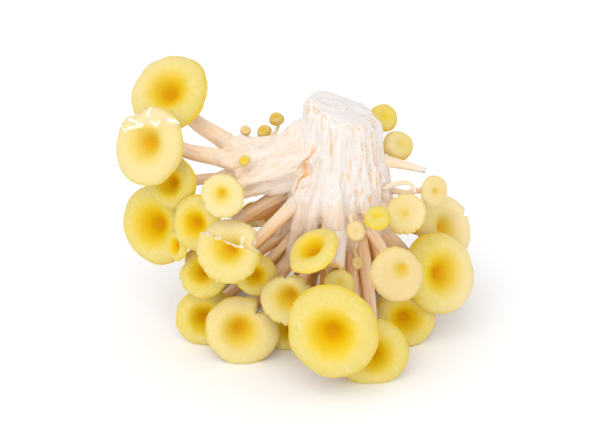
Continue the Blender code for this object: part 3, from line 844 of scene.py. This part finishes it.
def make_cap(mushroom, settings):
    """The piece for one cap, in place of its plain solid."""
    name = f"cap_{mushroom.name}"
    skin = material_once("cap_skin", cap_material, settings)
    piece = piece_of(f"{name}_skin", mesh_of(name, cap_surface(mushroom, settings)), skin)
    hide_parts(name)


# Butt and stems


def butt_axis(share):
    """Points on the butt's axis at shares of its height."""
    return BUTT_LOW + np.asarray(share)[..., None] * (BUTT_TOP - BUTT_LOW)


def butt_share(height):
    """The share of the butt's height at a height above the table."""
    return (height - BUTT_LOW[2]) / (BUTT_TOP[2] - BUTT_LOW[2])


def butt_radius(share):
    return np.interp(share, BUTT_SHARES, BUTT_RADII_MM) * MM


def arm_at(share):
    """The points and the radii at shares of the arm's length."""
    places = np.linspace(0, 1, len(ARM_POINTS_MM))
    points = [np.interp(share, places, column) for column in np.transpose(ARM_POINTS_MM)]
    return np.stack(points, axis=-1) * MM, np.interp(share, places, ARM_RADII_MM) * MM


def butt_surface():
    """The butt: a folded cone round its axis, whose cut end leans.

    At each share of its height the radius is multiplied by one plus a cosine of seven times
    the angle, which fades towards the cut. The foot is drawn in by a bell, and the rim of the
    cut by a square. The cut end falls to the right as the share cubed.
    """
    share = np.linspace(1, 0, 90)[:, None]
    angle = turns(160)[None, :]
    fold = 1 + BUTT_FOLD_DEPTH * (1 - share) * np.cos(BUTT_FOLDS * angle)
    foot = 1 - 0.16 * np.exp(-(((share - 0.18) / 0.12) ** 2))
    rim = 1 - 0.17 * np.clip((share - 0.92) / 0.08, 0, 1) ** 2
    radius = butt_radius(share) * fold * foot * rim
    across, deep = radius * np.cos(angle), radius * np.sin(angle)
    drop = -math.tan(CUT_LEAN) * (across + CUT_PIVOT) * share**3
    rows = butt_axis(share) + np.stack([across, deep, drop], axis=-1)
    middle = butt_axis(1.0) - (0, 0, math.tan(CUT_LEAN) * CUT_PIVOT - CUT_DOME)
    return closed_grid(rows, middle, butt_axis(0.0), {})


def carried(path, radii, reach, arrive=None):
    """A profile carried along a path: rings of the radii times reach, square to the path.

    reach is an array of paths by sides. The rings keep one side near the normal of the plane
    that the path bends in. Returns the rings and the turned outward directions.
    """
    ahead = np.gradient(path, axis=0)
    if arrive is not None:
        ahead[-1] = arrive
    ahead = unit(ahead)
    across = np.cross(path[-1] - path[0], path[len(path) // 2] - path[0])
    across = unit(across / (np.linalg.norm(across) + 1e-12) + np.array((0.02, 0.03, 0.05)))
    side = unit(across - ahead * (ahead @ across)[:, None])
    over = np.cross(side, ahead)
    angle = turns(reach.shape[1])
    outward = np.cos(angle)[None, :, None] * side[:, None] + np.sin(angle)[None, :, None] * over[:, None]
    return path[:, None] + (radii[:, None] * reach)[..., None] * outward, outward


def tube(path, radii, reach):
    """A closed surface of a profile carried along a path, from its first to its last point."""
    return closed_grid(carried(path, radii, reach)[0], path[0], path[-1], {})


def sunk_arm_at(share):
    """The arm as it is skinned: its middle sinks a little and is thinner, as a half sine,
    between the butt and the stems that it carries."""
    path, radii = arm_at(share)
    sunk = np.sin(math.pi * share)
    path[:, 2] -= ARM_SINK_MM * MM * sunk
    return path, radii * (1 - ARM_WAIST * sunk)


def arm_surface():
    """The arm, which tapers to the left, with five folds along it."""
    share = np.linspace(0, 1, 40)
    reach = 1 + ARM_FOLD_DEPTH * np.cos(ARM_FOLDS * turns(90))[None, :] + 0 * share[:, None]
    return tube(*sunk_arm_at(share), reach)


def root_of(mushroom, end):
    """Where a stem starts, sunk into the arm or into the butt on the side of its cap."""
    if isinstance(mushroom.root, tuple):
        return np.array(mushroom.root) * MM
    if mushroom.root == ARM:
        axis, radius = arm_at(ARM_ROOTS_AT)
        return axis + ROOT_DEPTH * radius * unit(end - axis)
    height = mushroom.root
    if height is None:
        height = ROOT_BASE_MM + ROOT_RISE * end[2] / MM
    share = butt_share(np.clip(height, *ROOT_HEIGHTS_MM) * MM)
    axis = butt_axis(share)
    return axis + ROOT_DEPTH * butt_radius(share) * unit((end - axis) * (1, 1, 0))


def stem_path(mushroom, t):
    """Points at t along a stem: a cubic from its root to its cap, where it follows the axis.

    A slow seeded sway is added, which is nothing at both ends.
    """
    middle, right, up, out = cap_frame(mushroom)
    radius, collar = cap_radius(mushroom), collar_share(mushroom)
    aside = (1 - collar) * radius * (mushroom.off[0] * right + mushroom.off[1] * up)
    end = middle + aside + under_height(mushroom.form, collar, collar) * radius * out
    start = root_of(mushroom, end)
    reach = np.linalg.norm(end - start)
    sag = np.array((0, 0, STEM_SAG if end[2] < start[2] else 0))
    leave = start + STEM_HANDLE * reach * unit(unit(end - start) - sag)
    before = end - STEM_HANDLE * reach * out
    draw = np.random.default_rng(stem_seed(mushroom))
    sway = draw.normal(size=(3, 3)) * 0.35 * MM
    waves = np.sin(math.pi * t[:, None] * np.array((1, 2, 3))) * np.sin(math.pi * t)[:, None]
    return bezier(start, leave, before, end, t) + waves @ sway, out


def fluted(t, sides, seed, depth=0.03):
    """How far the flesh of a stem stands out round it and along it.

    It is one plus cosines of two to eleven times the angle, each turned slowly along the
    stem, which makes the ribs of joined fibres.
    """
    draw = np.random.default_rng(seed)
    angle = turns(sides)[None, :]
    reach = np.ones((len(t), sides))
    for k in range(2, 12):
        size = depth * draw.uniform(0.4, 1) / math.sqrt(k / 2)
        phase = draw.uniform(0, math.tau)
        twist = draw.normal()
        reach = reach + size * np.cos(k * angle + phase + twist * t[:, None])
    return reach


def stem_marks(path, t, rows, normals, torn=0.0):
    """Marks of a stem: its fibres, in metres round and along it, how torn it is, and its painted shade.
    """
    along = np.concatenate([[0], np.cumsum(np.linalg.norm(np.diff(path, axis=0), axis=1))])
    angle = turns(rows.shape[1])[None, :]
    ring = np.linalg.norm(rows - path[:, None], axis=-1)
    return {
        "fibre": circle(ring, angle, along[:, None]) + path[-1] * 7,
        "torn": np.maximum(0.5 * (1 - ease(0.1, 0.4, t[:, None])), torn) + 0 * ring,
        "stain": 0.15 + 0 * ring,
        # The mark deep carries painted shade.
        "deep": painted_shade_amount(rows, normals),
    }


def painted_shade_amount(points, normals):
    """How much painted shade a point gets, 0 to 1, where shade falls deep in the cluster.

    It is strong near the core under the butt's foot, and round it where the skin faces the core.
    """
    away = points - np.array(CORE_MM) * MM
    level = np.linalg.norm(away[..., :2], axis=-1)
    core = 1 - ease(13 * MM, 36 * MM, level)
    inward = 0.12 + 0.88 * (1 - ease(-0.6, 0.6, (unit(away) * normals).sum(axis=-1)))
    inward = inward * (1 - ease(34 * MM, 74 * MM, level))
    below = 1 - ease(50 * MM, 76 * MM, points[..., 2])
    return 0.95 * below * np.maximum(0.5 * core, inward)


def stem_surface(mushroom, settings):
    """One stem, which flares to its root and to the collar under its cap."""
    t = np.linspace(0, 1, settings.steps)
    path, out = stem_path(mushroom, t)
    flare = 1 + (ROOT_FLARE - 1) * (1 - t) ** 2 + (COLLAR_FLARE - 1) * t**6
    radii = stem_radius(mushroom) * flare
    reach = fluted(t, settings.sides, stem_seed(mushroom) + 5)
    reach = 1 + (reach - 1) * (1 - 0.7 * t**8)[:, None]
    rows, normals = carried(path, radii, reach, out)
    marks = stem_marks(path, t, rows, normals)
    if mushroom.root == ARM:
        marks["torn"] = 0 * marks["torn"]
        marks["stain"] = 0.55 - 0.4 * ease(0, 0.6, t[:, None]) + 0 * marks["stain"]
    return closed_grid(rows, path[0], path[-1], marks)


def root_surface(mushroom):
    """The first stretch of a stem as a cone, which melts into the butt or the arm."""
    t = np.linspace(0, ROOT_LENGTH, 16)
    path = stem_path(mushroom, t)[0]
    flare = 1 + (ROOT_FLARE - 1) * (1 - t) ** 2
    thinned = 1 - 0.35 * ease(0.15, ROOT_LENGTH, t)
    radii = stem_radius(mushroom) * (flare * thinned + 0.25 * (1 - t / ROOT_LENGTH))
    return tube(path, radii, np.ones((len(t), ROUND_SIDES)))


def rib_surface(mushroom):
    """A rib of flesh that runs up from a stem over the butt, or along the arm, and thins out.

    Its path is a cubic from a third of the way along the stem to a place high on the skin,
    with both handles on the skin. Its radius starts inside the stem's, swells as it leaves
    it, and falls to a quarter of it.
    """
    path = stem_path(mushroom, np.array((0.0, 0.05, 0.34)))[0]
    end = np.array(mushroom.middle) * MM
    draw = random.Random(mushroom.name + " rib")
    if mushroom.root == ARM:
        axis, radius = sunk_arm_at(np.array((0.7, 0.5, draw.uniform(0.1, 0.3))))
        outward = (end - arm_at(ARM_ROOTS_AT)[0]) * (0.3, 1, 1)
        radius = radius * 0.92
    else:
        share = butt_share(path[0, 2]) + np.array((0.05, 0.22, draw.uniform(0.38, 0.55)))
        share = np.minimum(share, (0.7, 0.76, 0.82))
        axis, radius = butt_axis(share), butt_radius(share)
        outward = (end - axis[0]) * (1, 1, 0)
    skin = axis + 0.95 * radius[:, None] * unit(outward)
    t = np.linspace(0, 1, 40)
    rib = bezier(path[-1], skin[0], skin[1], skin[2], t)
    size = 0.7 + 0.5 * ease(0, 0.35, t) - 0.95 * ease(0.35, 1, t)
    return tube(rib, stem_radius(mushroom) * size, np.ones((len(t), ROUND_SIDES)))


def fleshed(points, normals, settings):
    """The joined butt with its relief, and its marks.

    Points move along their normals by sums of ripples whose bumps are long along the fibres
    and short across them: broad folds, fibres and threads. On the butt the fibres run up and
    down, on the arm along it, and on the cut end they give way to low lumps.
    """
    up = unit(BUTT_TOP - BUTT_LOW)
    height = (points - BUTT_LOW) @ up
    beside = points - BUTT_LOW - height[:, None] * up
    line = np.array(ARM_POINTS_MM) * MM
    way = unit(line[-1] - line[1])
    along = (points - line[0]) @ way
    nearest = np.min([np.linalg.norm(points - place, axis=1) for place in line[2:]], axis=0)
    on_arm = (1 - ease(13 * MM, 22 * MM, nearest)) * ease(6 * MM, 16 * MM, along)
    cut = ease(0.55, 0.85, normals @ up) * ease(50 * MM, 54 * MM, height)
    butt_fibre = np.column_stack([beside[:, 0], beside[:, 1], height])
    across = points - line[0] - along[:, None] * way
    arm_fibre = np.column_stack([across[:, 1], across[:, 2], -along])
    fibre = butt_fibre * (1 - on_arm[:, None]) + arm_fibre * on_arm[:, None]
    folds = ripple(fibre / np.array((9, 9, 60)) / MM, 11)
    fibres = 1 - 2 * np.abs(ripple(fibre / np.array((3.2, 3.2, 34)) / MM, 12))
    threads = 1 - 2 * np.abs(ripple(fibre / np.array((1.9, 1.9, 15)) / MM, 13))
    lumps = ripple(points / (9 * MM), 14) + 0.3 * ripple(points / (2.5 * MM), 15)
    relief = settings.fold * folds + settings.fibre * (fibres + 0.45 * threads)
    angle = np.degrees(np.arctan2(beside[:, 0], -beside[:, 1]))
    groove_at = np.interp(height / MM, GROOVE_HEIGHTS_MM, GROOVE_ANGLES)
    groove_at = groove_at + 2.5 * ripple(height[:, None] * (1, 0, 0) / (7 * MM), 16)
    groove = np.exp(-(((angle - groove_at) / GROOVE_WIDTH) ** 2))
    groove = groove * ease(14 * MM, 22 * MM, height) * (1 - ease(40 * MM, 47 * MM, height))
    relief = relief * (1 - cut) + (0.25 + 0.3 * cut) * MM * lumps - GROOVE_DEPTH * groove
    out_of_butt = ease(21 * MM, 31 * MM, np.linalg.norm(beside, axis=1)) * (1 - on_arm)
    past_arm = ease(36 * MM, 46 * MM, along) * on_arm
    whole = 1 - 0.75 * np.maximum(out_of_butt, past_arm)
    return points + relief[:, None] * normals, {
        "fibre": fibre,
        "torn": np.clip(whole * (0.85 + 0.3 * cut + 0.15 * fibres - 0.3 * on_arm), 0, 1)[:, None],
        "stain": stains(angle, height, cut, on_arm)[:, None],
        # Painted shade inside the cluster and in the groove where the arm leaves the butt.
        "deep": np.maximum(painted_shade_amount(points, normals), 0.6 * groove**2)[:, None],
    }


def stains(angle, height, cut, on_arm):
    """How stained a place is: bells of angle and height round the named places, a ring round
    the cut's rim, and a little everywhere, with less on the cut end."""
    found = 0.08 + 0.2 * on_arm + 2.4 * cut * (1 - cut)
    for place, rise, half_width, half_height, strength in STAINS:
        away = (angle - place + 180) % 360 - 180
        bell = np.exp(-((away / half_width) ** 2) - ((height / MM - rise) / half_height) ** 2)
        found = found + strength * bell
    return np.clip(found * (1 - 0.4 * cut), 0, 1)


def make_butt(settings):
    """The butt, the arm and the roots of the stems, melted into one skin and given relief.

    They are joined by voxels and smoothed. Then the relief is worked out on the new points.
    """
    roots = [root_surface(mushroom) for mushroom in MUSHROOMS]
    ribs = [
        rib_surface(mushroom) for mushroom in MUSHROOMS
        if mushroom.form is not PIN and not isinstance(mushroom.root, tuple)
    ]
    whole = mesh_of("butt_skin", joined([butt_surface(), arm_surface(), *roots, *ribs]))
    piece = piece_of("butt_skin", whole, material_once("flesh_skin", butt_material, settings))
    melt = piece.modifiers.new("Melt", "REMESH")
    melt.mode = "VOXEL"
    melt.voxel_size = settings.voxel
    smooth = piece.modifiers.new("Smooth", "SMOOTH")
    smooth.factor = 0.5
    smooth.iterations = 8
    graph = bpy.context.evaluated_depsgraph_get()
    mesh = bpy.data.meshes.new_from_object(piece.evaluated_get(graph))
    piece.modifiers.clear()
    points = np.empty(len(mesh.vertices) * 3, np.float32)
    normals = np.empty(len(mesh.vertices) * 3, np.float32)
    mesh.vertices.foreach_get("co", points)
    mesh.vertices.foreach_get("normal", normals)
    points = points.reshape(-1, 3).astype(float) + MIDDLE
    moved, marks = fleshed(points, normals.reshape(-1, 3).astype(float), settings)
    mesh.vertices.foreach_set("co", (moved - MIDDLE).astype(np.float32).ravel())
    mesh.polygons.foreach_set("use_smooth", np.ones(len(mesh.polygons), bool))
    mesh.update()
    put_marks(mesh, marks)
    mesh.name = "butt_skin"
    piece.data = mesh
    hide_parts(BUTT_NODE)


def make_flesh(name, surfaces, settings):
    """A piece of flesh beside the skin of the butt, made of the surfaces."""
    flesh = material_once("flesh_skin", butt_material, settings)
    piece = piece_of(name, mesh_of(name, joined(surfaces)), flesh)


def bare_path(points_mm, t):
    """Points at t on one arch through three points."""
    first, middle, last = np.array(points_mm) * MM
    handle = 2 * middle - (first + last) / 2
    t = t[:, None]
    return (1 - t) ** 2 * first + 2 * (1 - t) * t * handle + t**2 * last


def bare_surface(stem, settings, seed, ragged):
    """A stem with no cap: an arch whose end is torn off at a slant, with a ragged rim."""
    t = np.linspace(0, 1, settings.steps)
    path = bare_path(stem[0], t)
    radii = np.linspace(*stem[1], len(t)) * MM
    rows, normals = carried(path, radii, fluted(t, settings.sides, seed, BARE_FLUTES))
    marks = stem_marks(path, t, rows, normals, 0.8 * ease(0.8, 1, t[:, None]))
    teeth = np.abs(np.sin(3.5 * turns(settings.sides) + seed))
    rows[-1] += ragged * teeth[:, None] * unit(path[-1] - path[-2])
    return closed_grid(rows, path[0], path[-1], marks)


def trumpet_surface(settings):
    """The pale trumpet: a stem that spreads and is fluted by its gills, hollow at its end.

    Its radius grows as t to the power 2.5, and its flutes are the fourth power of a cosine
    of ten times the angle, deeper towards the end. The end is pushed in and left uneven.
    """
    t = np.linspace(0, 1, settings.steps)
    path = bare_path(TRUMPET[0], t)
    first, last = (radius * MM for radius in TRUMPET[1])
    radii = first + (last - first) * t**2.5
    angle = turns(4 * settings.sides)[None, :]
    flutes = np.abs(np.cos(10 * angle + 0.6 * np.sin(2 * angle))) ** 4
    reach = 1 - 0.14 * ease(0.1, 0.8, t)[:, None] * (1 - flutes)
    rows, normals = carried(path, radii, reach)
    marks = stem_marks(path, t, rows, normals, 0.65)
    marks["stain"] = 0.2 + 1.8 * ease(0.9, 1, t)[:, None] + 0 * reach
    # Stains brown the torn end, and the mark deep paints shade into its hollow.
    marks["deep"] = 0.9 * ease(0.86, 0.99, t)[:, None] + 0 * reach
    ahead = unit(path[-1] - path[-2])
    ring = circle(2, angle[0])
    ragged = ripple(ring, 31) + 0.5 * ripple(2.5 * ring, 32)
    rows += ahead * (1.5 * MM * ragged[:, None] * ease(0.8, 1, t)[:, None, None])
    return closed_grid(rows, path[0], path[-1] - ahead * 5 * MM, marks)


def stunted_surface(number, settings):
    """A thin stem under the butt that never grew a cap, and narrows to a blunt tip.

    Stems follow each other round the core by the golden angle. Each is a cubic that leaves
    the foot downwards and spreads outwards.
    """
    draw = random.Random(f"stunted {number}")
    around = number * GOLDEN_ANGLE
    way = np.array((math.cos(around), math.sin(around), 0))
    foot = np.array(CORE_MM) * (1, 1, 0)
    start = (foot + 7 * way + (0, 0, 62)) * MM
    end = (foot + draw.uniform(12, 20) * way + (0, 0, draw.uniform(8, 22))) * MM
    t = np.linspace(0, 1, settings.steps)
    path = bezier(start, start - (0, 0, 16 * MM), end + (0, 0, 12 * MM), end, t)
    radii = draw.uniform(1.9, 2.6) * MM * (1.1 - 0.3 * t) * np.sqrt(1 - 0.9 * t**8)
    rows, normals = carried(path, radii, fluted(t, settings.sides, number + 40))
    marks = stem_marks(path, t, rows, normals)
    # Painted shade: every stunted stem under the butt is darkened by the mark deep.
    marks["deep"] = 0.75 + 0 * marks["deep"]
    return closed_grid(rows, path[0], path[-1], marks)


# Operators


def caps_of(*forms):
    return [mushroom for mushroom in MUSHROOMS if mushroom.form in forms]


class CLUSTER_OT_funnel_caps(bpy.types.Operator):
    """Make the yellow funnel caps with their throats, rolled margins and gills"""

    bl_idname = "cluster.funnel_caps"
    bl_label = "Funnel Caps"

    def execute(self, context):
        for mushroom in caps_of(FUNNEL):
            make_cap(mushroom, context.scene.cluster_caps)
        return {"FINISHED"}


class CLUSTER_OT_saucer_caps(bpy.types.Operator):
    """Make the flat straw-coloured caps"""

    bl_idname = "cluster.saucer_caps"
    bl_label = "Saucer Caps"

    def execute(self, context):
        for mushroom in caps_of(SAUCER):
            make_cap(mushroom, context.scene.cluster_caps)
        return {"FINISHED"}


class CLUSTER_OT_buds(bpy.types.Operator):
    """Make the small caps that haven't opened, down to the pins on the arm"""

    bl_idname = "cluster.buds"
    bl_label = "Buds and Pins"

    def execute(self, context):
        for mushroom in caps_of(BUTTON, PIN):
            make_cap(mushroom, context.scene.cluster_caps)
        return {"FINISHED"}


class CLUSTER_OT_butt(bpy.types.Operator):
    """Make the torn and cut butt with its arm, and melt the roots of the stems into it"""

    bl_idname = "cluster.butt"
    bl_label = "Butt and Arm"

    def execute(self, context):
        make_butt(context.scene.cluster_flesh)
        return {"FINISHED"}


class CLUSTER_OT_stems(bpy.types.Operator):
    """Make the ribbed stems from the butt to every cap"""

    bl_idname = "cluster.stems"
    bl_label = "Stems"

    def execute(self, context):
        settings = context.scene.cluster_flesh
        make_flesh("stems", [stem_surface(mushroom, settings) for mushroom in MUSHROOMS], settings)
        return {"FINISHED"}


class CLUSTER_OT_bare_stems(bpy.types.Operator):
    """Make the stems that have lost their caps: a broken one, a curled one and a trumpet"""

    bl_idname = "cluster.bare_stems"
    bl_label = "Bare Stems"

    def execute(self, context):
        settings = context.scene.cluster_flesh
        made = {
            "broken_stem": bare_surface(BROKEN_STEM, settings, 21, 2.2 * MM),
            "curled_stem": bare_surface(CURLED_STEM, settings, 22, 0.6 * MM),
            "trumpet_stem": trumpet_surface(settings),
        }
        for name, surface in made.items():
            make_flesh(name, [surface], settings)
        return {"FINISHED"}


class CLUSTER_OT_stunted_stems(bpy.types.Operator):
    """Make the thin capless stems that crowd under the butt"""

    bl_idname = "cluster.stunted_stems"
    bl_label = "Stunted Stems"

    def execute(self, context):
        settings = context.scene.cluster_flesh
        surfaces = [stunted_surface(number, settings) for number in range(STUNTED)]
        surfaces += [bare_surface(stem, settings, 51, 0) for stem in DEEP_STEMS]
        make_flesh("stunted_stems", surfaces, settings)
        return {"FINISHED"}


class CLUSTER_OT_stage(bpy.types.Operator):
    """Make the pale floor, the soft light and the camera"""

    bl_idname = "cluster.stage"
    bl_label = "Stage"

    def execute(self, context):
        settings = context.scene.cluster_stage
        make_floor(settings)
        make_lights(settings)
        make_camera()
        context.scene.view_settings.view_transform = "Standard"
        return {"FINISHED"}


def make_floor(settings):
    """A wide level square at the table's height, which the lowest caps touch."""
    fixed = {"Base Color": (*settings.floor, 1), "Roughness": 0.7, "Specular IOR Level": 0.2}
    material = new_material("floor", fixed)[0]
    half = FLOOR_WIDTH / 2
    corners = [(-half, -half, TABLE), (half, -half, TABLE), (half, half, TABLE), (-half, half, TABLE)]
    mesh = bpy.data.meshes.new("floor")
    mesh.from_pydata(corners, [], [(0, 1, 2, 3)])
    mesh.materials.append(material)
    floor = bpy.data.objects.new("floor", mesh)
    bpy.context.scene.collection.objects.link(floor)


def soft_light(name, strength, size, way):
    """A broad distant light that comes from that way."""
    light = bpy.data.lights.new(name, "SUN")
    light.energy = strength
    light.angle = size
    lamp = bpy.data.objects.new(name, light)
    bpy.context.scene.collection.objects.link(lamp)
    lamp.rotation_euler = Vector(way).to_track_quat("Z", "Y").to_euler()


def make_lights(settings):
    """A soft light from the upper left, a weaker one from the front, and an even white sky."""
    soft_light("key", settings.key, settings.size, KEY_FROM)
    soft_light("fill", settings.fill, settings.size, FILL_FROM)
    world = bpy.data.worlds.new("sky")
    world.use_nodes = True
    sky = world.node_tree.nodes["Background"]
    sky.inputs["Color"].default_value = (1, 1, 1, 1)
    sky.inputs["Strength"].default_value = settings.sky
    bpy.context.scene.world = world


def make_camera():
    """The camera at the photograph's angle, with its focal length from the photograph's width."""
    camera = bpy.data.cameras.new("camera")
    camera.sensor_width = SENSOR_MM
    camera.lens = SENSOR_MM * FOCAL_PX / PHOTO_WIDTH_PX
    holder = bpy.data.objects.new("camera", camera)
    bpy.context.scene.collection.objects.link(holder)
    back = np.array((0, -math.cos(CAMERA_ELEVATION), math.sin(CAMERA_ELEVATION)))
    target = np.array((-MIDDLE[0], -MIDDLE[1], TARGET_HEIGHT))
    holder.location = target + CAMERA_DISTANCE * back
    holder.rotation_euler = (math.pi / 2 - CAMERA_ELEVATION, 0, 0)
    bpy.context.scene.camera = holder


class CLUSTER_PT_panel(bpy.types.Panel):
    """The cluster's pieces and their sizes and colours"""

    bl_idname = "CLUSTER_PT_panel"
    bl_label = "Mushroom Cluster"
    bl_space_type = "VIEW_3D"
    bl_region_type = "UI"
    bl_category = "Mushrooms"

    def draw(self, context):
        for piece in OPERATORS:
            self.layout.operator(piece.bl_idname)
        for group in GROUPS:
            box = self.layout.box()
            settings = getattr(context.scene, group)
            for name in settings.bl_rna.properties.keys():
                if name not in ("rna_type", "name"):
                    box.prop(settings, name)


GROUPS = {
    "cluster_caps": CapSettings,
    "cluster_flesh": FleshSettings,
    "cluster_stage": StageSettings,
}
OPERATORS = (
    CLUSTER_OT_stage,
    CLUSTER_OT_funnel_caps,
    CLUSTER_OT_saucer_caps,
    CLUSTER_OT_buds,
    CLUSTER_OT_butt,
    CLUSTER_OT_stems,
    CLUSTER_OT_bare_stems,
    CLUSTER_OT_stunted_stems,
)


def register():
    for made in (*GROUPS.values(), *OPERATORS, CLUSTER_PT_panel):
        bpy.utils.register_class(made)
    for name, group in GROUPS.items():
        setattr(bpy.types.Scene, name, PointerProperty(type=group))


def unregister():
    for name in GROUPS:
        delattr(bpy.types.Scene, name)
    for made in reversed((*GROUPS.values(), *OPERATORS, CLUSTER_PT_panel)):
        bpy.utils.unregister_class(made)


def main():
    register()
    bpy.ops.cluster.stage()
    bpy.ops.cluster.funnel_caps()
    bpy.ops.cluster.saucer_caps()
    bpy.ops.cluster.buds()
    bpy.ops.cluster.butt()
    bpy.ops.cluster.stems()
    bpy.ops.cluster.bare_stems()
    bpy.ops.cluster.stunted_stems()


if __name__ == "__main__":
    main()
